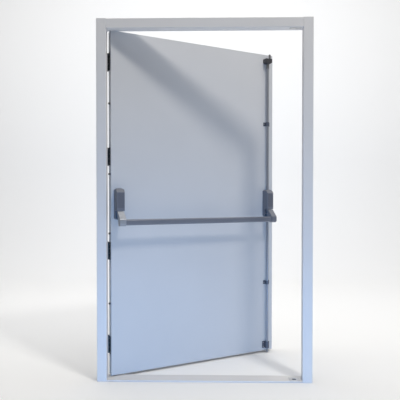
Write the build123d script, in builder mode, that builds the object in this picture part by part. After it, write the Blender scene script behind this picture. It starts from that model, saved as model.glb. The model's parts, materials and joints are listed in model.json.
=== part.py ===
from build123d import *
import os
from math import cos, radians, sin

# Steel fire exit door set, in millimetres.
# Seen from inside, X runs to the right, Y runs outward through the doorway and Z runs up.
# The origin is at the middle of the frame's width and depth, on the underside of the sill.
# The leaf and its gear are modelled closed, then swung open about the hinge axis.

# Frame, with its fixings placed like the dog bolts below
frame_width = 1200
frame_height = 2020
frame_depth = 90
face_width = 55
stop_height = 12
frame_sheet = 1.5
frame_bend = 2.5
wall_return = 15
fixing_hole_radius = 5.5
fixing_shares = (0.26, 0.75, 2.25, 2.74)

# Sill
sill_height = 8
sill_sheet = 2
sill_bend = 2.5
sill_base_flange = 60
sill_back_flange = 15

# Leaf
rest_opening = 27
leaf_thickness = 45
leaf_sheet = 1.2
leaf_bend = 1.8
hinge_gap = 5
lock_gap = 4
top_gap = 5
bottom_gap = 6
edge_seam = 1
inner_return = 30
channel_depth = 30
channel_sheet = 1.5
channel_bend = 2.5

# Seals, at the thickness they have when the leaf is shut
seal_gap = 3
seal_clearance = 0.3
seal_width = 6
seal_round = 1

# Hinges
hinge_count = 4
hinge_height = 100
hinge_inset = 168
hinge_plate = 2.3
hinge_plate_width = 33
knuckle_count = 5
knuckle_radius = 7
knuckle_clearance = 0.5
knuckle_end_gap = 0.4
hinge_pin_radius = 4
hinge_pin_overhang = 2
hinge_pin_chamfer = 1
pin_fit = 0.05

# Dog bolts in the hinge edge, placed above the bottom hinge by shares of the hinge spacing
dog_bolt_radius = 6
dog_bolt_projection = 10
dog_bolt_chamfer = 2
dog_bolt_depth = 18
dog_bolt_shares = (0.446, 1.186, 1.814, 2.554)
dog_bolt_fit = 0.1
dog_hole_clearance = 2
dog_collar_radius = 9
dog_collar_depth = 3

# Push bar, heads and arms
bar_height = 34
bar_depth = 20
bar_wall = 2
bar_standoff = 86
bar_drop = 72
bar_fit = 0.1
press_angle = 26
pivot_height = 962
pivot_radius = 4
head_rise = 120
head_fall = 60
head_arch = 9
head_wall = 3
cover_wall = 2.5
cover_round = 4
cover_slope_depth = 20
cover_slope_height = 24
cover_gap = 0.75
cover_drop = 9
panel_side_margin = 0.5
panel_top_margin = 4
panel_foot_margin = 17
panel_round = 5
panel_depth = 1
panel_sheet = 1.4
panel_fit = 0.1
panel_edge = 0.3
ear_wall = 3
ear_gap = 1.5
ear_clearance = 0.5
ear_radius = 6.5
hub_radius = 9
hub_half_length = 12.5
arm_width = 36
arm_gap = 2
arm_wall = 4
arm_neck_radius = 12
arm_heel = 6
arm_nose_round = 16
passive_inset = 40.5
active_inset = 54

# Crank and carriers that turn the bar's press into rod travel
crank_radius = 18
crank_pin_radius = 2.5
crank_web_radius = 4.5
crank_clearance = 0.15
crank_side_gap = 0.5
carrier_sheet = 3
carrier_wall = 2.6
carrier_gap = 3.75
carrier_reach = 38
carrier_flange_depth = 12

# Rods and their guides
rod_radius = 8
rod_wall = 2
rod_leaf_gap = 7
rod_inset = 49.5
rod_fit = 0.4
rod_collar_radius = 9.5
rod_collar_height = 30
rod_collar_gap = 1
base_front_margin = 2
guide_sheet = 2
guide_width = 48
guide_height = 24
upper_guide_share = 0.522
lower_guide_share = 0.475
bottom_guide_height = 43
bottom_guide_lift = 18
bottom_guide_wall = 5
bottom_guide_plate = 4
bottom_guide_reach = 30

# Bolts, top latch and strikes
bolt_radius = 7
bolt_tip_chamfer = 4
bolt_release = 1.2
bolt_hole_clearance = 1.5
bottom_bolt_length = 52
latch_width = 46
latch_height = 30
latch_side = 3
latch_wall = 4
latch_drop = 33
latch_corner = 8
latch_slide_height = 11
latch_slide_wall = 4
latch_slide_lip = 1
latch_bolt_side = 9.5
latch_gap = 0.6
strike_sheet = 1.5
strike_round = 4
top_strike_length = 66
top_strike_depth = 26
sill_strike_length = 58
sill_strike_depth = 54
strike_slot_length = 26
socket_wall = 1.2
socket_floor = 0.8
socket_fit = 0.1

# Screws
screw_head_radius = 3.5
screw_head_height = 2
screw_shank_radius = 2
screw_fit = 0.1
screw_edge = 7
bottom_screw_spacing = 26

# How far a cut runs past the material it goes through
cut_overrun = 1

# Frame lines
half_width = frame_width / 2
front_y = -frame_depth / 2
back_y = frame_depth / 2
reveal_x = half_width - face_width
rebate_x = reveal_x + stop_height
soffit_z = frame_height - face_width
rebate_z = soffit_z + stop_height
leaf_inner_y = back_y - leaf_thickness
stop_y = leaf_inner_y - seal_gap
fixing_y = (stop_y + back_y) / 2
seal_thickness = seal_gap - seal_clearance
seal_y = stop_y + seal_thickness / 2
seal_offset = frame_bend + (frame_sheet + seal_width) / 2

# Leaf lines
leaf_left = hinge_gap - rebate_x
leaf_right = rebate_x - lock_gap
leaf_bottom = sill_height + bottom_gap
leaf_top = rebate_z - top_gap
leaf_height = leaf_top - leaf_bottom
inside_left = leaf_left + leaf_sheet
inside_right = leaf_right - leaf_sheet
inside_front = leaf_inner_y + leaf_sheet
inside_back = back_y - leaf_sheet
seam_front = leaf_inner_y + inner_return
seam_back = seam_front + edge_seam
core_left = inside_left + channel_depth
core_right = inside_right - channel_depth
core_bottom = leaf_bottom + channel_depth
core_top = leaf_top - channel_depth
core_height = core_top - core_bottom

# Hinge lines
hinge_axis_x = hinge_gap / 2 - rebate_x
hinge_axis_y = back_y + knuckle_radius + knuckle_clearance
hinge_axis = Axis((hinge_axis_x, hinge_axis_y, 0), (0, 0, 1))
hinge_spacing = (leaf_height - 2 * hinge_inset) / (hinge_count - 1)
bottom_hinge_z = leaf_bottom + hinge_inset
hinge_heights = [bottom_hinge_z + number * hinge_spacing for number in range(hinge_count)]
knuckle_bore = hinge_pin_radius + pin_fit
knuckle_pitch = hinge_height / knuckle_count
knuckle_length = knuckle_pitch - knuckle_end_gap
knuckle_root_y = hinge_axis_y - (knuckle_radius + knuckle_bore) / 2
hinge_plate_front = back_y - hinge_plate_width
dog_bolt_y = leaf_inner_y + dog_bolt_depth
dog_bolt_places = [(dog_bolt_y, bottom_hinge_z + share * hinge_spacing) for share in dog_bolt_shares]
fixing_heights = [bottom_hinge_z + share * hinge_spacing for share in fixing_shares]
dog_seat_depth = leaf_sheet + channel_sheet

# Panic bolt lines
eye_radius = crank_pin_radius + crank_clearance + carrier_wall
pivot_standoff = head_wall + carrier_gap + eye_radius + crank_radius
head_depth = pivot_standoff + crank_radius + eye_radius + cover_gap + cover_wall
rod_standoff = rod_leaf_gap + rod_radius
base_depth = rod_standoff + rod_radius + base_front_margin
pivot_y = leaf_inner_y - pivot_standoff
active_x = leaf_right - active_inset
rod_x = leaf_right - rod_inset
rod_y = leaf_inner_y - rod_standoff
passive_x = leaf_left + passive_inset
base_front_y = leaf_inner_y - base_depth
cover_front_y = leaf_inner_y - head_depth
cover_bottom = pivot_height - cover_drop
head_top = pivot_height + head_rise
head_bottom = pivot_height - head_fall
carrier_x = hub_half_length + crank_side_gap
ear_half_span = carrier_x + carrier_sheet + ear_clearance + ear_wall
head_width = 2 * (ear_half_span + ear_gap + cover_wall)
panel_width = head_width - 2 * (cover_round + panel_side_margin)
panel_top = head_top - cover_slope_height - panel_top_margin
panel_bottom = cover_bottom + panel_foot_margin
pivot_bore = pivot_radius + pin_fit
bar_y = leaf_inner_y - bar_standoff
bar_z = pivot_height - bar_drop
arm_top = cover_bottom - arm_gap
bar_end = arm_width / 2 - arm_wall
bar_left = passive_x - bar_end
bar_right = active_x + bar_end

# The crank swings through the same angle above and below its level position
half_press = radians(press_angle) / 2
rod_travel = 2 * crank_radius * sin(half_press)
crank_reach = crank_radius * cos(half_press)
crank_rise = crank_radius * sin(half_press)
crank_slide = crank_radius - crank_reach
crank_middle = (crank_radius + crank_reach) / 2
crank_hole = crank_pin_radius + crank_clearance
upper_flange_z = pivot_height + carrier_reach
lower_flange_z = pivot_height - carrier_reach

# Bolt lines
bolt_throw = rod_travel - bolt_release
top_tip_z = soffit_z - strike_sheet + bolt_throw
bottom_tip_z = sill_height + strike_sheet - bolt_throw
bottom_bolt_top = bottom_tip_z + bottom_bolt_length
bottom_guide_bottom = leaf_bottom + bottom_guide_lift
bottom_guide_middle = bottom_guide_bottom + bottom_guide_height / 2
latch_top = leaf_top - latch_drop
latch_bottom = latch_top - latch_height
latch_x = rod_x - latch_side
latch_bolt_x = rod_x + latch_bolt_side
latch_bolt_y = (front_y + stop_y) / 2
latch_slide_left = rod_x - rod_radius - latch_slide_wall
latch_slide_right = latch_bolt_x + bolt_radius + latch_slide_lip
latch_slide_back = rod_y + rod_radius
latch_slide_front = latch_bolt_y - bolt_radius - latch_slide_lip
latch_depth = leaf_inner_y - latch_slide_front + latch_gap + latch_wall
latch_slide_bottom = latch_bottom + latch_wall + latch_gap + rod_travel
latch_slide_top = latch_slide_bottom + latch_slide_height
rod_hole = rod_radius + rod_fit
bolt_hole = bolt_radius + bolt_hole_clearance
rod_collar_top = latch_bottom - rod_collar_gap
rod_collar_bottom = rod_collar_top - rod_collar_height
bottom_guide_top = bottom_guide_bottom + bottom_guide_height
upper_guide_z = head_top + upper_guide_share * (latch_bottom - head_top)
lower_guide_z = bottom_guide_top + lower_guide_share * (head_bottom - bottom_guide_top)

# Screw places
screw_hole = screw_shank_radius + screw_fit
guide_heights = (lower_guide_z, upper_guide_z)
guide_screw_x = guide_width / 2 - screw_edge
guide_screws_x = (rod_x - guide_screw_x, rod_x + guide_screw_x)
strap_screw_places = [(x, z) for x in guide_screws_x for z in guide_heights]
bottom_screw_x = rod_x - bottom_guide_reach + screw_edge
bottom_screw_rises = (-bottom_screw_spacing / 2, bottom_screw_spacing / 2)
bottom_screw_places = [(bottom_screw_x, bottom_guide_middle + rise) for rise in bottom_screw_rises]
top_strike_reach = top_strike_length / 2 - screw_edge
sill_strike_reach = sill_strike_length / 2 - screw_edge
top_strike_screws = [(rod_x + side * top_strike_reach, latch_bolt_y) for side in (-1, 1)]
sill_strike_screws = [(rod_x + side * sill_strike_reach, rod_y) for side in (-1, 1)]
socket_length = strike_slot_length + 2 * socket_wall
socket_width = 2 * (bolt_hole + socket_wall)

os.makedirs("parts", exist_ok=True)


# Write one piece of the frame where it stands
def save(builder, label):
    builder.part.label = label
    export_step(builder.part, f"parts/{label}.step")


# Write one piece that hangs on the leaf, swung open with it
def save_on_leaf(builder, label):
    piece = builder.part.rotate(hinge_axis, rest_opening)
    piece.label = label
    export_step(piece, f"parts/{label}.step")


# A rectangle between two corners, on a plane
def rectangle_between(plane, low, high):
    with BuildSketch(plane) as shape:
        with Locations(((low[0] + high[0]) / 2, (low[1] + high[1]) / 2)):
            Rectangle(high[0] - low[0], high[1] - low[1])
    return shape.sketch


# The middle of a sheet whose outer face follows a square-cornered line.
# The sheet lies to the left of the line's course where side is 1, and to the right where it is -1.
def middle_line(line, sheet, side):
    shifts = []
    for start, end in zip(line, line[1:]):
        course = (Vector(*end) - Vector(*start)).normalized()
        shifts.append(Vector(-course.Y, course.X) * (side * sheet / 2))
    inner_points = [Vector(*line[i]) + shifts[i - 1] + shifts[i] for i in range(1, len(shifts))]
    return [Vector(*line[0]) + shifts[0], *inner_points, Vector(*line[-1]) + shifts[-1]]


# A sheet folded along a line on a plane and run out along the plane's normal
def folded_sheet(plane, line, bend, sheet, side, length):
    with BuildPart() as strip:
        with BuildSketch(plane):
            with BuildLine():
                FilletPolyline(*middle_line(line, sheet, side), radius=bend)
            trace(line_width=sheet)
        extrude(amount=length)
    return strip.part


# The jambs' stops, as blocks to be left out of what fits between the jambs
def jamb_stops(low_z, high_z):
    plane = Plane.XY.offset(low_z - cut_overrun)
    with BuildPart() as stops:
        for left, right in ((-rebate_x, -reveal_x), (reveal_x, rebate_x)):
            block = rectangle_between(plane, (left, front_y), (right, stop_y + frame_bend))
            extrude(block, amount=high_z - low_z + 2 * cut_overrun)
    return stops.part


# Jamb: wall return, face, reveal, stop, rebate and outer face folded from one sheet
def build_jamb(side, holes):
    edge = side * half_width
    reveal = side * reveal_x
    rebate = side * rebate_x
    line = [
        (edge, front_y + wall_return),
        (edge, front_y),
        (reveal, front_y),
        (reveal, stop_y),
        (rebate, stop_y),
        (rebate, back_y),
        (edge, back_y),
        (edge, back_y - wall_return),
    ]
    sheet = folded_sheet(Plane.XY, line, frame_bend, frame_sheet, -side, frame_height)
    with BuildPart() as jamb:
        add(sheet)
        with BuildSketch(Plane.YZ.offset(rebate)):
            for place, radius in holes:
                with Locations(place):
                    Circle(radius)
        extrude(amount=frame_sheet + cut_overrun, both=True, mode=Mode.SUBTRACT)
    return jamb


fixing_holes = [((fixing_y, height), fixing_hole_radius) for height in fixing_heights]
dog_holes = [(place, dog_bolt_radius + dog_hole_clearance) for place in dog_bolt_places]
save(build_jamb(-1, fixing_holes + dog_holes), "hinge_jamb")
save(build_jamb(1, fixing_holes), "lock_jamb")

# Head: the jambs' fold laid level between them, with a hole for the top bolt
head_line = [
    (front_y + wall_return, frame_height),
    (front_y, frame_height),
    (front_y, soffit_z),
    (stop_y, soffit_z),
    (stop_y, rebate_z),
    (back_y, rebate_z),
    (back_y, frame_height),
    (back_y - wall_return, frame_height),
]
between_jambs = Plane.YZ.offset(-rebate_x)
head_sheet = folded_sheet(between_jambs, head_line, frame_bend, frame_sheet, 1, 2 * rebate_x)
head_stops = jamb_stops(soffit_z, frame_height)
with BuildPart() as frame_head:
    add(head_sheet)
    add(head_stops, mode=Mode.SUBTRACT)
    with BuildSketch(Plane.XY.offset(soffit_z)):
        with Locations((latch_bolt_x, latch_bolt_y)):
            Circle(bolt_hole)
    extrude(amount=frame_sheet + cut_overrun, both=True, mode=Mode.SUBTRACT)
save(frame_head, "frame_head")

# Sill: a low folded threshold between the jambs, slotted for the bottom bolt's socket
sill_line = [
    (front_y + sill_base_flange, 0),
    (front_y, 0),
    (front_y, sill_height),
    (back_y, sill_height),
    (back_y, 0),
    (back_y - sill_back_flange, 0),
]
sill_fold = folded_sheet(between_jambs, sill_line, sill_bend, sill_sheet, -1, 2 * rebate_x)
sill_stops = jamb_stops(0, sill_height)
with BuildPart() as sill:
    add(sill_fold)
    add(sill_stops, mode=Mode.SUBTRACT)
    with BuildSketch(Plane.XY.offset(-cut_overrun)):
        with Locations((rod_x, rod_y)):
            SlotOverall(socket_length + 2 * socket_fit, socket_width + 2 * socket_fit)
    extrude(amount=sill_height + 2 * cut_overrun, mode=Mode.SUBTRACT)
save(sill, "sill")

# Sill socket: a cup in the sill, below its strike, that the bottom bolt enters
with BuildPart() as sill_socket:
    with BuildSketch(Plane.XY):
        with Locations((rod_x, rod_y)):
            SlotOverall(socket_length, socket_width)
    extrude(amount=sill_height)
    with BuildSketch(Plane.XY.offset(socket_floor)):
        with Locations((rod_x, rod_y)):
            SlotOverall(strike_slot_length, 2 * bolt_hole)
    extrude(amount=sill_height, mode=Mode.SUBTRACT)
save(sill_socket, "sill_socket")

# Seals: strips on the back of the stops, rounded towards the leaf
for side, label in ((-1, "hinge_seal"), (1, "lock_seal")):
    with BuildPart() as jamb_seal:
        with BuildSketch(Plane.XY.offset(sill_height)) as seal_section:
            with Locations((side * (reveal_x + seal_offset), seal_y)):
                Rectangle(seal_width, seal_thickness)
            fillet(seal_section.vertices().group_by(Axis.Y)[-1], radius=seal_round)
        extrude(amount=rebate_z - sill_height)
    save(jamb_seal, label)
with BuildPart() as head_seal:
    with BuildSketch(Plane.YZ.offset(-reveal_x)) as seal_section:
        with Locations((seal_y, soffit_z + seal_offset)):
            Rectangle(seal_thickness, seal_width)
        fillet(seal_section.vertices().group_by(Axis.X)[-1], radius=seal_round)
    extrude(amount=2 * reveal_x)
save(head_seal, "head_seal")

# Strikes: plates round the holes that the bolts enter, under the head and on the sill
with BuildPart() as top_strike:
    with BuildSketch(Plane.XY.offset(soffit_z - strike_sheet)):
        with Locations((rod_x, latch_bolt_y)):
            RectangleRounded(top_strike_length, top_strike_depth, strike_round)
        with Locations((latch_bolt_x, latch_bolt_y)):
            Circle(bolt_hole, mode=Mode.SUBTRACT)
        with Locations(*top_strike_screws):
            Circle(screw_hole, mode=Mode.SUBTRACT)
    extrude(amount=strike_sheet)
save(top_strike, "top_strike")
with BuildPart() as sill_strike:
    with BuildSketch(Plane.XY.offset(sill_height)):
        with Locations((rod_x, rod_y)):
            RectangleRounded(sill_strike_length, sill_strike_depth, strike_round)
            SlotOverall(strike_slot_length, 2 * bolt_hole, mode=Mode.SUBTRACT)
        with Locations(*sill_strike_screws):
            Circle(screw_hole, mode=Mode.SUBTRACT)
    extrude(amount=strike_sheet)
save(sill_strike, "sill_strike")


# Screws with flat heads that stand out from a plane, and shanks through the plate behind it
def build_screws(plane, out, places, plate):
    with BuildPart() as screws:
        with BuildSketch(plane):
            with Locations(*places):
                Circle(screw_head_radius)
        extrude(amount=out * screw_head_height)
        with BuildSketch(plane):
            with Locations(*places):
                Circle(screw_shank_radius)
        extrude(amount=-out * plate)
    return screws.part


top_screws = build_screws(Plane.XY.offset(soffit_z - strike_sheet), -1, top_strike_screws, strike_sheet)
sill_screws = build_screws(Plane.XY.offset(sill_height + strike_sheet), 1, sill_strike_screws, strike_sheet)
with BuildPart() as strike_screws:
    add(top_screws)
    add(sill_screws)
save(strike_screws, "strike_screws")


# Half of a hinge: a plate in the gap with its share of the knuckles
def build_hinge_half(plate_left, bottom_z, knuckles):
    plate_right = plate_left + hinge_plate
    foot = Plane.XY.offset(bottom_z)
    plate = rectangle_between(foot, (plate_left, hinge_plate_front), (plate_right, back_y))
    with BuildPart() as half:
        extrude(plate, amount=hinge_height)
        for number in knuckles:
            level = foot.offset(number * knuckle_pitch + knuckle_end_gap / 2)
            tab = rectangle_between(level, (plate_left, back_y), (plate_right, knuckle_root_y))
            extrude(tab, amount=knuckle_length)
            with BuildSketch(level):
                with Locations((hinge_axis_x, hinge_axis_y)):
                    Circle(knuckle_radius)
            extrude(amount=knuckle_length)
        with BuildSketch(foot):
            with Locations((hinge_axis_x, hinge_axis_y)):
                Circle(knuckle_bore)
        extrude(amount=hinge_height, mode=Mode.SUBTRACT)
    return half


# Hinges: every other knuckle on the frame plate, the rest on the leaf plate, and a pin
for number, middle_z in enumerate(hinge_heights, start=1):
    bottom_z = middle_z - hinge_height / 2
    frame_half = build_hinge_half(-rebate_x, bottom_z, range(0, knuckle_count, 2))
    leaf_half = build_hinge_half(leaf_left - hinge_plate, bottom_z, range(1, knuckle_count, 2))
    with BuildPart() as hinge_pin:
        with BuildSketch(Plane.XY.offset(bottom_z - hinge_pin_overhang)):
            with Locations((hinge_axis_x, hinge_axis_y)):
                Circle(hinge_pin_radius)
        extrude(amount=hinge_height + 2 * hinge_pin_overhang)
        chamfer(hinge_pin.edges().filter_by(GeomType.CIRCLE), length=hinge_pin_chamfer)
    save(frame_half, f"hinge_{number}_frame_plate")
    save_on_leaf(leaf_half, f"hinge_{number}_leaf_plate")
    save(hinge_pin, f"hinge_{number}_pin")

# Seats for the dog bolts, cut from the inner skin and the channel behind it
with BuildPart() as dog_seats:
    with BuildSketch(Plane.YZ.offset(leaf_left - cut_overrun)):
        with Locations(*dog_bolt_places):
            Circle(dog_bolt_radius + dog_bolt_fit)
    extrude(amount=dog_seat_depth + 2 * cut_overrun)

# Skins: two pans whose returns meet at a seam in the leaf's edges
inner_line = [
    (leaf_left, seam_front),
    (leaf_left, leaf_inner_y),
    (leaf_right, leaf_inner_y),
    (leaf_right, seam_front),
]
outer_line = [
    (leaf_right, seam_back),
    (leaf_right, back_y),
    (leaf_left, back_y),
    (leaf_left, seam_back),
]
leaf_foot = Plane.XY.offset(leaf_bottom)
inner_pan = folded_sheet(leaf_foot, inner_line, leaf_bend, leaf_sheet, 1, leaf_height)
outer_pan = folded_sheet(leaf_foot, outer_line, leaf_bend, leaf_sheet, 1, leaf_height)
with BuildPart() as inner_skin:
    add(inner_pan)
    add(dog_seats.part, mode=Mode.SUBTRACT)
save_on_leaf(inner_skin, "inner_skin")
with BuildPart() as outer_skin:
    add(outer_pan)
save_on_leaf(outer_skin, "outer_skin")

# Edge channels: folded stiffeners between the skins, along all four edges
hinge_channel_line = [
    (core_left, inside_front),
    (inside_left, inside_front),
    (inside_left, inside_back),
    (core_left, inside_back),
]
lock_channel_line = [
    (core_right, inside_front),
    (inside_right, inside_front),
    (inside_right, inside_back),
    (core_right, inside_back),
]
top_channel_line = [
    (inside_front, core_top),
    (inside_front, leaf_top),
    (inside_back, leaf_top),
    (inside_back, core_top),
]
bottom_channel_line = [
    (inside_front, core_bottom),
    (inside_front, leaf_bottom),
    (inside_back, leaf_bottom),
    (inside_back, core_bottom),
]
upright = Plane.XY.offset(core_bottom)
crosswise = Plane.YZ.offset(inside_left + leaf_bend)
cross_length = inside_right - inside_left - 2 * leaf_bend
hinge_fold = folded_sheet(upright, hinge_channel_line, channel_bend, channel_sheet, -1, core_height)
with BuildPart() as hinge_channel:
    add(hinge_fold)
    add(dog_seats.part, mode=Mode.SUBTRACT)
save_on_leaf(hinge_channel, "hinge_channel")
other_channels = [
    ("lock_channel", upright, lock_channel_line, 1, core_height),
    ("top_channel", crosswise, top_channel_line, -1, cross_length),
    ("bottom_channel", crosswise, bottom_channel_line, 1, cross_length),
]
for label, plane, line, side, length in other_channels:
    fold = folded_sheet(plane, line, channel_bend, channel_sheet, side, length)
    with BuildPart() as channel:
        add(fold)
    save_on_leaf(channel, label)

# Core: stiff infill between the skins and the channels
core_section = rectangle_between(upright, (core_left, inside_front), (core_right, inside_back))
with BuildPart() as core:
    extrude(core_section, amount=core_height)
save_on_leaf(core, "core")

# Dog bolts: fixed studs that enter the hinge jamb when the leaf is shut
for number, place in enumerate(dog_bolt_places, start=1):
    with BuildPart() as dog_bolt:
        with BuildSketch(Plane.YZ.offset(leaf_left - dog_bolt_projection)):
            with Locations(place):
                Circle(dog_bolt_radius)
        extrude(amount=dog_bolt_projection + dog_seat_depth)
        tip = dog_bolt.faces().sort_by(Axis.X)[0]
        chamfer(tip.edges(), length=dog_bolt_chamfer)
        with BuildSketch(Plane.YZ.offset(leaf_left + dog_seat_depth)):
            with Locations(place):
                Circle(dog_collar_radius)
        extrude(amount=dog_collar_depth)
    save_on_leaf(dog_bolt, f"dog_bolt_{number}")


# Front outline of a head, inset by a wall: upright sides, arched top and bottom
def head_outline(centre_x, y, wall):
    left = centre_x - head_width / 2 + wall
    right = centre_x + head_width / 2 - wall
    top = head_top - wall
    bottom = head_bottom + wall
    with BuildSketch(Plane.XZ.offset(-y)) as outline:
        with BuildLine():
            Line((left, bottom + head_arch), (left, top - head_arch))
            ThreePointArc((left, top - head_arch), (centre_x, top), (right, top - head_arch))
            Line((right, top - head_arch), (right, bottom + head_arch))
            ThreePointArc((right, bottom + head_arch), (centre_x, bottom), (left, bottom + head_arch))
        make_face()
    return outline.sketch


# Head base: an open tray on the leaf, with two ears that hold the arm's pivot pin
def build_base(centre_x):
    outline = head_outline(centre_x, leaf_inner_y, 0)
    hollow = head_outline(centre_x, leaf_inner_y - head_wall, head_wall)
    with BuildPart() as base:
        extrude(outline, amount=base_depth)
        extrude(hollow, amount=base_depth, mode=Mode.SUBTRACT)
        for ear_x in (centre_x - ear_half_span, centre_x + ear_half_span - ear_wall):
            ear_plane = Plane.YZ.offset(ear_x)
            shank = rectangle_between(
                ear_plane,
                (pivot_y, pivot_height - ear_radius),
                (leaf_inner_y, pivot_height + ear_radius),
            )
            extrude(shank, amount=ear_wall)
            with BuildSketch(ear_plane):
                with Locations((pivot_y, pivot_height)):
                    Circle(ear_radius)
            extrude(amount=ear_wall)
        with BuildSketch(Plane.YZ.offset(centre_x)):
            with Locations((pivot_y, pivot_height)):
                Circle(pivot_bore)
        extrude(amount=ear_half_span + cut_overrun, both=True, mode=Mode.SUBTRACT)
    return base


# The front of a head above the arm, inset by a wall, with the top of its face sloped back
def cover_block(centre_x, wall, overrun):
    back = base_front_y + overrun
    front = cover_front_y + wall
    top = head_top - wall
    bottom = cover_bottom - overrun
    outline = head_outline(centre_x, back, wall)
    with BuildPart() as block:
        extrude(outline, amount=back - front)
        with BuildSketch(Plane.YZ.offset(centre_x)):
            with BuildLine():
                Polyline(
                    (back, bottom),
                    (back, top),
                    (front + cover_slope_depth, top),
                    (front, top - cover_slope_height),
                    (front, bottom),
                    close=True,
                )
            make_face()
        extrude(amount=head_width, both=True, mode=Mode.INTERSECT)
    return block.part


# The face panel of a cover, grown by a margin, from the cover's face plane inward
def panel_outline(centre_x, y, margin):
    height = panel_top - panel_bottom + 2 * margin
    with BuildSketch(Plane.XZ.offset(-y)) as outline:
        with Locations((centre_x, (panel_bottom + panel_top) / 2)):
            RectangleRounded(panel_width + 2 * margin, height, panel_round + margin)
    return outline.sketch


# Head cover: a shell over the mechanism, open behind and below, with a seat for its face panel
def build_cover(centre_x):
    outside = cover_block(centre_x, 0, 0)
    hollow = cover_block(centre_x, cover_wall, cut_overrun)
    seat = panel_outline(centre_x, cover_front_y, panel_fit)
    with BuildPart() as cover:
        add(outside)
        fillet(cover.edges().filter_by(Axis.Z).group_by(Axis.Y)[0], radius=cover_round)
        add(hollow, mode=Mode.SUBTRACT)
        extrude(seat, amount=-panel_depth, mode=Mode.SUBTRACT)
    return cover


# Face panel: a dark plate in the seat of a cover, a little proud of it
def build_panel(centre_x):
    outline = panel_outline(centre_x, cover_front_y + panel_depth, 0)
    with BuildPart() as panel:
        extrude(outline, amount=panel_sheet)
        chamfer(panel.faces().sort_by(Axis.Y)[0].edges(), length=panel_edge)
    return panel


# Pivot pin of an arm, held in the two ears of its base
def build_pivot_pin(centre_x):
    with BuildPart() as pin:
        with BuildSketch(Plane.YZ.offset(centre_x)):
            with Locations((pivot_y, pivot_height)):
                Circle(pivot_radius)
        extrude(amount=ear_half_span, both=True)
    return pin


# Oval section of the push bar at one place along it, grown by a margin
def bar_section(x, margin):
    with BuildSketch(Plane.YZ.offset(x)) as section:
        with Locations((bar_y, bar_z)):
            SlotOverall(bar_height + 2 * margin, bar_depth + 2 * margin, rotation=90)
    return section.sketch


# Arm: a cast lever from the pivot down to a socket round the end of the bar
def build_arm(centre_x, bar_side, cranked):
    nose_y = bar_y - bar_depth / 2 - arm_wall
    heel_y = bar_y + bar_depth / 2 + arm_wall
    toe_z = bar_z - bar_height / 2 - arm_wall
    mouth = bar_section(centre_x + bar_side * arm_width / 2, bar_fit)
    hub_left = Plane.YZ.offset(centre_x - hub_half_length)
    hub_right = Plane.YZ.offset(centre_x + hub_half_length)
    crank_pin_length = carrier_sheet + 2 * crank_side_gap
    with BuildPart() as arm:
        with BuildSketch(Plane.YZ.offset(centre_x)) as side_view:
            with BuildLine():
                Polyline(
                    (cover_front_y, arm_top),
                    (nose_y, bar_z + bar_height / 2),
                    (nose_y, toe_z),
                    (heel_y, toe_z),
                    (pivot_y - arm_heel, arm_top),
                    close=True,
                )
            make_face()
            fillet(side_view.vertices().group_by(Axis.X)[0], radius=arm_nose_round)
        extrude(amount=arm_width / 2, both=True)
        with BuildSketch(hub_left) as neck:
            with Locations((pivot_y, pivot_height)):
                Circle(hub_radius)
            with Locations((bar_y, bar_z)):
                Circle(arm_neck_radius)
            make_hull(neck.edges())
        extrude(amount=2 * hub_half_length)
        if cranked:
            with BuildSketch(hub_left):
                with Locations((pivot_y, pivot_height)):
                    SlotCenterToCenter(2 * crank_radius, 2 * crank_web_radius, rotation=-press_angle / 2)
            extrude(amount=2 * hub_half_length)
            with BuildSketch(hub_right):
                with Locations((pivot_y - crank_reach, pivot_height + crank_rise)):
                    Circle(crank_pin_radius)
            extrude(amount=crank_pin_length)
            with BuildSketch(hub_left):
                with Locations((pivot_y + crank_reach, pivot_height - crank_rise)):
                    Circle(crank_pin_radius)
            extrude(amount=-crank_pin_length)
        with BuildSketch(hub_left):
            with Locations((pivot_y, pivot_height)):
                Circle(pivot_bore)
        extrude(amount=2 * hub_half_length, mode=Mode.SUBTRACT)
        extrude(mouth, amount=-bar_side * (arm_width - arm_wall), mode=Mode.SUBTRACT)
    return arm


# Passive head, near the hinges
save_on_leaf(build_base(passive_x), "passive_base")
save_on_leaf(build_cover(passive_x), "passive_cover")
save_on_leaf(build_panel(passive_x), "passive_panel")
save_on_leaf(build_pivot_pin(passive_x), "passive_pivot_pin")
save_on_leaf(build_arm(passive_x, 1, False), "passive_arm")

# Active head, near the free edge, with its base slotted for the rods
active_tray = build_base(active_x).part
head_foot = Plane.XY.offset(head_bottom - cut_overrun)
slot_mouth = rectangle_between(
    head_foot,
    (rod_x - rod_hole, base_front_y - cut_overrun),
    (rod_x + rod_hole, rod_y),
)
slot_length = head_top - head_bottom + 2 * cut_overrun
with BuildPart() as active_base:
    add(active_tray)
    extrude(slot_mouth, amount=slot_length, mode=Mode.SUBTRACT)
    with BuildSketch(head_foot):
        with Locations((rod_x, rod_y)):
            Circle(rod_hole)
    extrude(amount=slot_length, mode=Mode.SUBTRACT)
save_on_leaf(active_base, "active_base")
save_on_leaf(build_cover(active_x), "active_cover")
save_on_leaf(build_panel(active_x), "active_panel")
save_on_leaf(build_pivot_pin(active_x), "active_pivot_pin")
save_on_leaf(build_arm(active_x, -1, True), "active_arm")

# Push bar: an oval tube from the bottom of one arm's socket to the other's
bar_outside = bar_section(bar_left, 0)
bar_inside = bar_section(bar_left, -bar_wall)
with BuildPart() as push_bar:
    extrude(bar_outside, amount=bar_right - bar_left)
    extrude(bar_inside, amount=bar_right - bar_left, mode=Mode.SUBTRACT)
save_on_leaf(push_bar, "push_bar")


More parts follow.
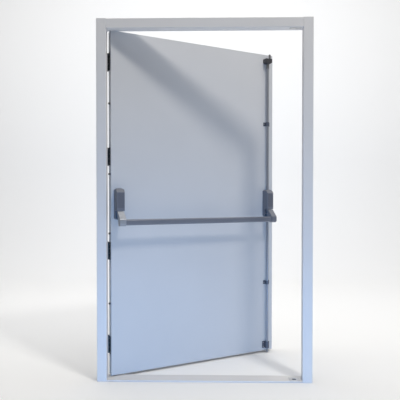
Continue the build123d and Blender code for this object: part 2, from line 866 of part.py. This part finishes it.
# Carrier: a bent plate with a slotted eye round a crank pin and a flange on the end of a rod
def build_carrier(plate_left, eye, flange_low, flange_left, flange_right):
    flange_front = rod_y - carrier_flange_depth / 2
    flange_back = rod_y + carrier_flange_depth / 2
    flange = rectangle_between(
        Plane.XY.offset(flange_low),
        (flange_left, flange_front),
        (flange_right, flange_back),
    )
    with BuildPart() as carrier:
        with BuildSketch(Plane.YZ.offset(plate_left)) as plate:
            with Locations(eye):
                Circle(eye_radius)
            with Locations((rod_y, flange_low + carrier_sheet / 2)):
                Rectangle(carrier_flange_depth, carrier_sheet)
            make_hull(plate.edges())
            with Locations(eye):
                SlotOverall(2 * crank_hole + crank_slide, 2 * crank_hole, mode=Mode.SUBTRACT)
        extrude(amount=carrier_sheet)
        extrude(flange, amount=carrier_sheet)
    return carrier


# The upper carrier rides the front crank pin, the lower carrier the rear one
upper_carrier = build_carrier(
    active_x + carrier_x,
    (pivot_y - crank_middle, pivot_height + crank_rise),
    upper_flange_z,
    rod_x - rod_radius,
    active_x + carrier_x + carrier_sheet,
)
lower_carrier = build_carrier(
    active_x - carrier_x - carrier_sheet,
    (pivot_y + crank_middle, pivot_height - crank_rise),
    lower_flange_z - carrier_sheet,
    active_x - carrier_x - carrier_sheet,
    rod_x + rod_radius,
)
save_on_leaf(upper_carrier, "upper_carrier")
save_on_leaf(lower_carrier, "lower_carrier")


# A round bar on the rods' line, from one height to another
def rod_length(radius, low_z, high_z):
    with BuildPart() as length:
        with BuildSketch(Plane.XY.offset(low_z)):
            with Locations((rod_x, rod_y)):
                Circle(radius)
        extrude(amount=high_z - low_z)
    return length.part


# Rods: tubes from the carriers to the bolts
rod_bore = rod_radius - rod_wall
upper_low = upper_flange_z + carrier_sheet
upper_outside = rod_length(rod_radius, upper_low, rod_collar_bottom)
upper_inside = rod_length(rod_bore, upper_low, rod_collar_bottom)
with BuildPart() as upper_rod:
    add(upper_outside)
    add(upper_inside, mode=Mode.SUBTRACT)
save_on_leaf(upper_rod, "upper_rod")
lower_high = lower_flange_z - carrier_sheet
lower_outside = rod_length(rod_radius, bottom_bolt_top, lower_high)
lower_inside = rod_length(rod_bore, bottom_bolt_top, lower_high)
with BuildPart() as lower_rod:
    add(lower_outside)
    add(lower_inside, mode=Mode.SUBTRACT)
save_on_leaf(lower_rod, "lower_rod")

# Top latch case: a box on the leaf with its lower corners cut away, hollow round the slide
latch_cavity = rectangle_between(
    Plane.XY.offset(latch_bottom + latch_wall),
    (latch_slide_left - latch_gap, latch_slide_front - latch_gap),
    (latch_slide_right + latch_gap, leaf_inner_y),
)
with BuildPart() as top_latch_case:
    with BuildSketch(Plane.XZ.offset(-leaf_inner_y)) as case_outline:
        with Locations((latch_x, latch_bottom + latch_height / 2)):
            Rectangle(latch_width, latch_height)
        chamfer(case_outline.vertices().group_by(Axis.Y)[0], length=latch_corner)
    extrude(amount=latch_depth)
    extrude(latch_cavity, amount=latch_height - 2 * latch_wall, mode=Mode.SUBTRACT)
    with BuildSketch(Plane.XY.offset(latch_bottom)):
        with Locations((rod_x, rod_y)):
            Circle(rod_hole)
    extrude(amount=latch_wall, mode=Mode.SUBTRACT)
    with BuildSketch(Plane.XY.offset(latch_top)):
        with Locations((latch_bolt_x, latch_bolt_y)):
            Circle(bolt_radius + rod_fit)
    extrude(amount=-latch_wall, mode=Mode.SUBTRACT)
save_on_leaf(top_latch_case, "top_latch_case")

# Top bolt: a collar on the upper rod, a neck into the case, and a slide with its pin set forward
top_collar = rod_length(rod_collar_radius, rod_collar_bottom, rod_collar_top)
top_neck = rod_length(rod_radius, rod_collar_bottom, latch_slide_bottom)
latch_slide = rectangle_between(
    Plane.XY.offset(latch_slide_bottom),
    (latch_slide_left, latch_slide_front),
    (latch_slide_right, latch_slide_back),
)
with BuildPart() as top_bolt:
    add(top_collar)
    add(top_neck)
    extrude(latch_slide, amount=latch_slide_height)
    with BuildSketch(Plane.XY.offset(latch_slide_top)):
        with Locations((latch_bolt_x, latch_bolt_y)):
            Circle(bolt_radius)
    extrude(amount=top_tip_z - latch_slide_top)
    chamfer(top_bolt.faces().sort_by(Axis.Z)[-1].edges(), length=bolt_tip_chamfer)
save_on_leaf(top_bolt, "top_bolt")

# Bottom bolt: a pin on the end of the lower rod with a tapered tip
bottom_pin = rod_length(bolt_radius, bottom_tip_z, bottom_bolt_top)
with BuildPart() as bottom_bolt:
    add(bottom_pin)
    chamfer(bottom_bolt.faces().sort_by(Axis.Z)[0].edges(), length=bolt_tip_chamfer)
save_on_leaf(bottom_bolt, "bottom_bolt")

# Rod guides: straps bent over the rods with an ear each side, open to the leaf
strap_radius = rod_hole + guide_sheet
for label, middle_z in zip(("lower_guide", "upper_guide"), guide_heights):
    foot = Plane.XY.offset(middle_z - guide_height / 2)
    ears = rectangle_between(
        foot,
        (rod_x - guide_width / 2, leaf_inner_y - guide_sheet),
        (rod_x + guide_width / 2, leaf_inner_y),
    )
    arch = rectangle_between(foot, (rod_x - strap_radius, rod_y), (rod_x + strap_radius, leaf_inner_y))
    tunnel = rectangle_between(foot, (rod_x - rod_hole, rod_y), (rod_x + rod_hole, leaf_inner_y))
    with BuildPart() as guide:
        extrude(ears, amount=guide_height)
        extrude(arch, amount=guide_height)
        with BuildSketch(foot):
            with Locations((rod_x, rod_y)):
                Circle(strap_radius)
        extrude(amount=guide_height)
        extrude(tunnel, amount=guide_height, mode=Mode.SUBTRACT)
        with BuildSketch(foot):
            with Locations((rod_x, rod_y)):
                Circle(rod_hole)
        extrude(amount=guide_height, mode=Mode.SUBTRACT)
        with BuildSketch(Plane.XZ.offset(-leaf_inner_y)):
            with Locations(*[(x, middle_z) for x in guide_screws_x]):
                Circle(screw_hole)
        extrude(amount=guide_sheet, mode=Mode.SUBTRACT)
    save_on_leaf(guide, label)

# Bottom guide: a boss round the bolt, with a plate to one side for its screws
boss_radius = rod_hole + bottom_guide_wall
guide_foot = Plane.XY.offset(bottom_guide_bottom)
side_plate = rectangle_between(
    guide_foot,
    (rod_x - bottom_guide_reach, leaf_inner_y - bottom_guide_plate),
    (rod_x, leaf_inner_y),
)
boss_root = rectangle_between(guide_foot, (rod_x - boss_radius, rod_y), (rod_x + boss_radius, leaf_inner_y))
with BuildPart() as bottom_guide:
    extrude(side_plate, amount=bottom_guide_height)
    extrude(boss_root, amount=bottom_guide_height)
    with BuildSketch(guide_foot):
        with Locations((rod_x, rod_y)):
            Circle(boss_radius)
    extrude(amount=bottom_guide_height)
    with BuildSketch(guide_foot):
        with Locations((rod_x, rod_y)):
            Circle(rod_hole)
    extrude(amount=bottom_guide_height, mode=Mode.SUBTRACT)
    with BuildSketch(Plane.XZ.offset(-leaf_inner_y)):
        with Locations(*bottom_screw_places):
            Circle(screw_hole)
    extrude(amount=bottom_guide_plate, mode=Mode.SUBTRACT)
save_on_leaf(bottom_guide, "bottom_guide")

# Screws of the guides, kept as one group
strap_plane = Plane.XZ.offset(guide_sheet - leaf_inner_y)
plate_plane = Plane.XZ.offset(bottom_guide_plate - leaf_inner_y)
strap_screws = build_screws(strap_plane, 1, strap_screw_places, guide_sheet)
plate_screws = build_screws(plate_plane, 1, bottom_screw_places, bottom_guide_plate)
with BuildPart() as guide_screws:
    add(strap_screws)
    add(plate_screws)
save_on_leaf(guide_screws, "guide_screws")
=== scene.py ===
import json
import math
import random
from collections import namedtuple

import bmesh
import bpy
from mathutils import Matrix, Vector


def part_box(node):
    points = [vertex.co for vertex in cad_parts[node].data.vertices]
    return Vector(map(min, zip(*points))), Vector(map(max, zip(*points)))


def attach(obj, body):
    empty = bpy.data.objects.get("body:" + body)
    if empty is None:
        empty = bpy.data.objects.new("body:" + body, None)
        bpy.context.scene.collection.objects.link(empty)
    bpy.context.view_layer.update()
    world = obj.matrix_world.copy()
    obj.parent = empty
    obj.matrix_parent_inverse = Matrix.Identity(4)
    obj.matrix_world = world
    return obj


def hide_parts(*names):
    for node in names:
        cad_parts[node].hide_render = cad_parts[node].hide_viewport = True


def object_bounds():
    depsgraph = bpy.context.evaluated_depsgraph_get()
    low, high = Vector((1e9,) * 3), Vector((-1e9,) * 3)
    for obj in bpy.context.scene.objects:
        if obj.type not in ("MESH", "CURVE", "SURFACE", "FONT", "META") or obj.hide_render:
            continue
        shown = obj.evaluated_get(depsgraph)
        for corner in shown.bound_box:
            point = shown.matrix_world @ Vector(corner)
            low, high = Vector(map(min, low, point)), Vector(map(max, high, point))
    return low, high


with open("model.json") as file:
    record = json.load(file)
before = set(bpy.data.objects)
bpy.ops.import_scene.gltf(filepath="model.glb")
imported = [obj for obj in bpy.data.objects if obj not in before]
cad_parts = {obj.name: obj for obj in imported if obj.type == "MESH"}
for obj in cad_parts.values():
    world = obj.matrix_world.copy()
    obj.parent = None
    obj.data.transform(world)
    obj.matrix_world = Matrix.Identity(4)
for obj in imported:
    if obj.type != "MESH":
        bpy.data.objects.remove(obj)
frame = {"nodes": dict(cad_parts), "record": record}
size_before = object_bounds()
nodes = frame["nodes"]

# Lengths are in metres, apart from the lens and sensor in millimetres, and angles in degrees

# Camera, fitted to the photo's frame and leaf edges, and the tilt that brings a camera level
camera_place = (-0.0083, -2.648, 1.0209)
camera_yaw = 1.071
camera_pitch = -0.831
level_tilt = 90.0
camera_lens = 42.31
camera_sensor = 36.0
camera_shift = (0.01488, 0.01428)

# Area lights: size, power, colour, place, the point that each looks at, spread and shadows
lights = {
    "key": {
        "size": (0.7, 0.7),
        "power": 97,
        "colour": (1.0, 0.97, 0.92),
        "place": (2.0, -2.35, 5.45),
        "aim": (0, 0.2, 1.2),
        "spread": 180,
        "shadow": True,
    },
    "low": {
        "size": (1.5, 0.3),
        "power": 10.8,
        "colour": (0.14, 0.45, 1.0),
        "place": (0, -2.1, -0.2),
        "aim": (0, 0, 0.4),
        "spread": 100,
        "shadow": False,
    },
    "back": {
        "size": (9.0, 3.0),
        "power": 124,
        "colour": (1.0, 1.0, 1.0),
        "place": (0, 0.9, 4.2),
        "aim": (0, 4.5, 1.4),
        "spread": 180,
        "shadow": True,
    },
    "top": {
        "size": (6.0, 6.0),
        "power": 160,
        "colour": (1.0, 1.0, 1.0),
        "place": (0, -0.5, 6.5),
        "aim": (0, 0, 0),
        "spread": 180,
        "shadow": True,
    },
}
world_colour = (1.0, 0.95, 0.88)
world_strength = 0.2

# Backdrop: a floor that curves up into a wall
floor_half_width = 9.0
floor_front = -7.0
floor_drop = 0.0005
wall_y = 4.5
wall_height = 7.0
sweep_radius = 1.6
sweep_steps = 24
backdrop_colour = (0.90, 0.905, 0.91)
backdrop_roughness = 0.9

# Finishes: base colour, roughness, how metallic, and the strength of the fine skin
finishes = {
    "frame_paint": {"colour": (0.71, 0.70, 0.695), "roughness": 0.38, "metal": 0.0, "peel": 0.10},
    "leaf_paint": {"colour": (0.605, 0.602, 0.602), "roughness": 0.42, "metal": 0.0, "peel": 0.10},
    "inner_steel": {"colour": (0.45, 0.46, 0.48), "roughness": 0.50, "metal": 0.6, "peel": 0.05},
    "core_wool": {"colour": (0.45, 0.40, 0.28), "roughness": 0.95, "metal": 0.0, "peel": 0.80},
    "seal_rubber": {"colour": (0.035, 0.035, 0.04), "roughness": 0.70, "metal": 0.0, "peel": 0.15},
    "zinc_steel": {"colour": (0.55, 0.55, 0.56), "roughness": 0.32, "metal": 0.95, "peel": 0.08},
    "hinge_steel": {"colour": (0.13, 0.12, 0.108), "roughness": 0.45, "metal": 0.35, "peel": 0.10},
    "bolt_steel": {"colour": (0.26, 0.26, 0.27), "roughness": 0.35, "metal": 0.9, "peel": 0.08},
    "head_plastic": {"colour": (0.15, 0.16, 0.19), "roughness": 0.45, "metal": 0.0, "peel": 0.35},
    "panel_plastic": {"colour": (0.115, 0.122, 0.148), "roughness": 0.42, "metal": 0.0, "peel": 0.30},
    "arm_metal": {"colour": (0.33, 0.34, 0.36), "roughness": 0.36, "metal": 0.3, "peel": 0.20},
    "bar_paint": {"colour": (0.175, 0.185, 0.215), "roughness": 0.34, "metal": 0.2, "peel": 0.12},
    "rod_paint": {"colour": (0.28, 0.285, 0.305), "roughness": 0.30, "metal": 0.4, "peel": 0.10},
    "guide_paint": {"colour": (0.09, 0.10, 0.13), "roughness": 0.45, "metal": 0.1, "peel": 0.20},
    "latch_plastic": {"colour": (0.04, 0.04, 0.044), "roughness": 0.45, "metal": 0.0, "peel": 0.25},
}
peel_scale = 420.0
peel_detail = 2.0
peel_depth = 0.00012
mottle_scale = 2.2
mottle_detail = 4.0
mottle_darkest = 0.94
mottle_lightest = 1.04

# Screws in general
screw_slot = "zinc_steel"
screw_sides = 28
screw_seed = 11
rim_share = 0.86
cross_length_share = 0.62
cross_width_share = 0.17
cross_floor_share = 0.72
quarter_turns = (0, 90, 180, 270)

# Countersunk screws of the hinges, with offsets from the middle of a hinge
hinge_count = 4
hinge_face_gap = 0.0004
hinge_plate_width = 0.033
hinge_screw_radius = 0.0046
hinge_screw_rise = 0.00015
hinge_screw_root = 0.0005
hinge_screw_offsets = (-0.038, -0.0135, 0.0135, 0.038)
hinge_screw_depth_shares = (0.3, 0.68, 0.3, 0.68)
hinge_recess_share = 0.8

# Cap screws of the strikes and the guides
weld_distance = 0.00001
cap_dome_share = 0.72
cap_recess_share = 0.75

# What the frame gives: the door's middle height and the leaf's turn from shut to rest
door_low, door_high = size_before
middle_height = (door_low[2] + door_high[2]) / 2
joints = {joint["name"]: joint for joint in frame["record"]["behaviour"]["joints"]}
shut_angle, _ = joints["leaf_swing"]["range_deg"]
opening = Matrix.Rotation(math.radians(-shut_angle), 4, "Z")

# A screw's place, the way that it points, and its rings of radius and height from the foot to the rim
Seat = namedtuple("Seat", "place out rings")

# A closed loop of corners and the edges between them
Loop = namedtuple("Loop", "corners edges")


# A colour as a shader takes it
def opaque(colour):
    return (*colour, 1.0)


# A finish with faint mottling in its colour and a fine skin on its surface
def make_finish(name, finish):
    material = bpy.data.materials.new(name)
    material.use_nodes = True
    tree = material.node_tree
    shader = tree.nodes["Principled BSDF"]
    shader.inputs["Roughness"].default_value = finish["roughness"]
    shader.inputs["Metallic"].default_value = finish["metal"]
    place = tree.nodes.new("ShaderNodeTexCoord")
    mottle = tree.nodes.new("ShaderNodeTexNoise")
    mottle.inputs["Scale"].default_value = mottle_scale
    mottle.inputs["Detail"].default_value = mottle_detail
    tree.links.new(place.outputs["Object"], mottle.inputs["Vector"])
    spread = tree.nodes.new("ShaderNodeMapRange")
    spread.inputs["To Min"].default_value = mottle_darkest
    spread.inputs["To Max"].default_value = mottle_lightest
    tree.links.new(mottle.outputs["Fac"], spread.inputs["Value"])
    tint = tree.nodes.new("ShaderNodeVectorMath")
    tint.operation = "SCALE"
    tint.inputs[0].default_value = finish["colour"]
    tree.links.new(spread.outputs["Result"], tint.inputs["Scale"])
    tree.links.new(tint.outputs["Vector"], shader.inputs["Base Color"])
    peel = tree.nodes.new("ShaderNodeTexNoise")
    peel.inputs["Scale"].default_value = peel_scale
    peel.inputs["Detail"].default_value = peel_detail
    tree.links.new(place.outputs["Object"], peel.inputs["Vector"])
    bump = tree.nodes.new("ShaderNodeBump")
    bump.inputs["Strength"].default_value = finish["peel"]
    bump.inputs["Distance"].default_value = peel_depth
    tree.links.new(peel.outputs["Fac"], bump.inputs["Height"])
    tree.links.new(bump.outputs["Normal"], shader.inputs["Normal"])
    return material


finish_of = {name: make_finish(name, finish) for name, finish in finishes.items()}
for subpart in frame["record"]["subparts"]:
    piece = nodes[subpart["node"]]
    piece.data.materials.clear()
    piece.data.materials.append(finish_of[subpart["material_slot"]])


# A new closed loop at a placing
def add_loop(shape, placing, points):
    corners = [shape.verts.new(placing @ point) for point in points]
    edges = [shape.edges.new(pair) for pair in zip(corners, corners[1:] + corners[:1])]
    return Loop(corners, edges)


# Faces between two rows of as many corners
def bridge(shape, low, high):
    for number in range(len(low)):
        shape.faces.new((low[number - 1], low[number], high[number], high[number - 1]))


# Points on a circle round a screw's own axis
def ring_points(radius, height):
    turns = [math.tau * step / screw_sides for step in range(screw_sides)]
    return [Vector((radius * math.cos(turn), radius * math.sin(turn), height)) for turn in turns]


# The outline of a cross, as one arm turned to each quarter
def cross_outline(length, width):
    arm = [Vector((width, -width)), Vector((length, -width)), Vector((length, width))]
    turns = [Matrix.Rotation(math.radians(quarter), 2) for quarter in quarter_turns]
    return [turn @ point for turn in turns for point in arm]


# One screw with a cross recess, at a placing that turns its own axis to where it points
def add_screw(shape, placing, rings, recess_share):
    loops = [add_loop(shape, placing, ring_points(radius, height)) for radius, height in rings]
    for below, above in zip(loops, loops[1:]):
        bridge(shape, below.corners, above.corners)
    shape.faces.new(reversed(loops[0].corners))
    rim_radius, rim_height = rings[-1]
    floor_height = rim_height * (1 - recess_share)
    outline = cross_outline(rim_radius * cross_length_share, rim_radius * cross_width_share)
    mouth = add_loop(shape, placing, [point.to_3d() + Vector((0, 0, rim_height)) for point in outline])
    narrowed = [cross_floor_share * point for point in outline]
    floor = add_loop(shape, placing, [point.to_3d() + Vector((0, 0, floor_height)) for point in narrowed])
    bmesh.ops.triangle_fill(shape, use_beauty=True, edges=loops[-1].edges + mouth.edges)
    bridge(shape, mouth.corners, floor.corners)
    bmesh.ops.triangle_fill(shape, use_beauty=True, edges=floor.edges)


# A set of screws as one piece, each with a random turn of its cross
def make_screws(name, seats, recess_share, body, slot):
    spin = random.Random(screw_seed)
    shape = bmesh.new()
    for seat in seats:
        facing = seat.out.to_track_quat("Z", "Y").to_matrix().to_4x4()
        turn = Matrix.Rotation(spin.uniform(0, math.pi / 2), 4, "Z")
        add_screw(shape, Matrix.Translation(seat.place) @ facing @ turn, seat.rings, recess_share)
    bmesh.ops.recalc_face_normals(shape, faces=shape.faces)
    mesh = bpy.data.meshes.new(name)
    shape.to_mesh(mesh)
    shape.free()
    mesh.materials.append(finish_of[slot])
    piece = bpy.data.objects.new(name, mesh)
    bpy.context.collection.objects.link(piece)
    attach(piece, body)
    return piece


# The seats in both plates of a hinge, where screws sit nearly flush
def hinge_seats(hinge):
    pin_low, pin_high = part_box(hinge + "_pin")
    plate_low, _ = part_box(hinge + "_frame_plate")
    axis = (Vector(pin_low) + Vector(pin_high)) / 2
    half_gap = Vector((hinge_face_gap / 2, 0, 0))
    toward_leaf = Vector((1, 0, 0))
    rings = [
        (hinge_screw_radius, -hinge_screw_root),
        (hinge_screw_radius, hinge_screw_rise / 2),
        (hinge_screw_radius * rim_share, hinge_screw_rise),
    ]
    on_frame = []
    on_leaf = []
    for offset, depth_share in zip(hinge_screw_offsets, hinge_screw_depth_shares):
        depth = plate_low[1] + depth_share * hinge_plate_width
        between = Vector((axis.x, depth, axis.z + offset))
        swung = axis + opening @ (between + half_gap - axis)
        on_frame.append(Seat(between - half_gap, toward_leaf, rings))
        on_leaf.append(Seat(swung, opening @ -toward_leaf, rings))
    return on_frame, on_leaf


frame_seats = []
leaf_seats = []
for number in range(hinge_count):
    on_frame, on_leaf = hinge_seats(f"hinge_{number + 1}")
    frame_seats.extend(on_frame)
    leaf_seats.extend(on_leaf)
make_screws("frame_hinge_screws", frame_seats, hinge_recess_share, "frame", screw_slot)
make_screws("leaf_hinge_screws", leaf_seats, hinge_recess_share, "leaf", screw_slot)


# The separate lumps of a CAD node, each as a list of its corners
def lumps_of(node):
    shape = bmesh.new()
    shape.from_mesh(nodes[node].data)
    bmesh.ops.remove_doubles(shape, verts=shape.verts, dist=weld_distance)
    seen = set()
    lumps = []
    for start in shape.verts:
        if start in seen:
            continue
        seen.add(start)
        reached = [start]
        lump = []
        while reached:
            corner = reached.pop()
            lump.append(corner.co.copy())
            near = [edge.other_vert(corner) for edge in corner.link_edges]
            fresh = [other for other in near if other not in seen]
            seen.update(fresh)
            reached.extend(fresh)
        lumps.append(lump)
    shape.free()
    return lumps


# The seat of a cap screw that fills a CAD screw, which points out from its shank to its head
def fit_screw(lump, out):
    middle = sum(lump, Vector()) / len(lump)
    heights = [(corner - middle).dot(out) for corner in lump]
    reaches = [(corner - middle - height * out).length for corner, height in zip(lump, heights)]
    head = max(reaches)
    shank = min(reaches)
    under_head = min(height for height, reach in zip(heights, reaches) if reach > (head + shank) / 2)
    rise = max(heights) - under_head
    rings = [
        (shank, min(heights) - under_head),
        (shank, 0),
        (head, 0),
        (head, rise * cap_dome_share),
        (head * rim_share, rise),
    ]
    return Seat(middle + under_head * out, out, rings)


# Screws of the strikes, which point up from the sill and down from the head
upward = Vector((0, 0, 1))
strike_seats = []
for lump in lumps_of("strike_screws"):
    on_sill = lump[0].z < middle_height
    strike_seats.append(fit_screw(lump, upward if on_sill else -upward))
strike_caps = make_screws("strike_cap_screws", strike_seats, cap_recess_share, "frame", screw_slot)
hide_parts("strike_screws")

# Screws of the guides, which point out of the leaf's inner face
leaf_inward = opening @ Vector((0, -1, 0))
guide_seats = [fit_screw(lump, leaf_inward) for lump in lumps_of("guide_screws")]
guide_caps = make_screws("guide_cap_screws", guide_seats, cap_recess_share, "leaf", screw_slot)
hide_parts("guide_screws")


# The backdrop's profile, as points of depth and height from the front of the floor to the top of the wall
def backdrop_profile():
    sweep_start = wall_y - sweep_radius
    profile = [(floor_front, 0), (sweep_start, 0)]
    for step in range(1, sweep_steps + 1):
        turn = step / sweep_steps * math.pi / 2
        profile.append((sweep_start + sweep_radius * math.sin(turn), sweep_radius * (1 - math.cos(turn))))
    profile.append((wall_y, wall_height))
    return profile


# Backdrop
sides = (-floor_half_width, floor_half_width)
corners = [(x, y, z - floor_drop) for y, z in backdrop_profile() for x in sides]
strips = [(first, first + 1, first + 3, first + 2) for first in range(0, len(corners) - 2, 2)]
backdrop_mesh = bpy.data.meshes.new("backdrop")
backdrop_mesh.from_pydata(corners, [], strips)
for face in backdrop_mesh.polygons:
    face.use_smooth = True
backdrop_paint = bpy.data.materials.new("backdrop_paint")
backdrop_paint.use_nodes = True
backdrop_shader = backdrop_paint.node_tree.nodes["Principled BSDF"]
backdrop_shader.inputs["Base Color"].default_value = opaque(backdrop_colour)
backdrop_shader.inputs["Roughness"].default_value = backdrop_roughness
backdrop_mesh.materials.append(backdrop_paint)
backdrop = bpy.data.objects.new("backdrop", backdrop_mesh)
bpy.context.collection.objects.link(backdrop)


# A soft light that looks at a point
def add_light(name, light):
    data = bpy.data.lights.new(name, "AREA")
    data.shape = "RECTANGLE"
    data.size, data.size_y = light["size"]
    data.energy = light["power"]
    data.color = light["colour"]
    data.spread = math.radians(light["spread"])
    data.use_shadow = light["shadow"]
    lamp = bpy.data.objects.new(name, data)
    lamp.location = light["place"]
    gaze = Vector(light["aim"]) - Vector(light["place"])
    lamp.rotation_mode = "QUATERNION"
    lamp.rotation_quaternion = gaze.to_track_quat("-Z", "Y")
    bpy.context.collection.objects.link(lamp)


for name, light in lights.items():
    add_light(name, light)

# World
scene = bpy.context.scene
scene.world = bpy.data.worlds.new("studio")
scene.world.use_nodes = True
sky = scene.world.node_tree.nodes["Background"]
sky.inputs["Color"].default_value = opaque(world_colour)
sky.inputs["Strength"].default_value = world_strength
scene.view_settings.view_transform = "Standard"

# Camera
camera_data = bpy.data.cameras.new("camera")
camera_data.lens = camera_lens
camera_data.sensor_width = camera_sensor
camera_data.shift_x, camera_data.shift_y = camera_shift
camera = bpy.data.objects.new("camera", camera_data)
camera.location = camera_place
camera.rotation_euler = (math.radians(level_tilt + camera_pitch), 0, math.radians(camera_yaw))
bpy.context.collection.objects.link(camera)
scene.camera = camera
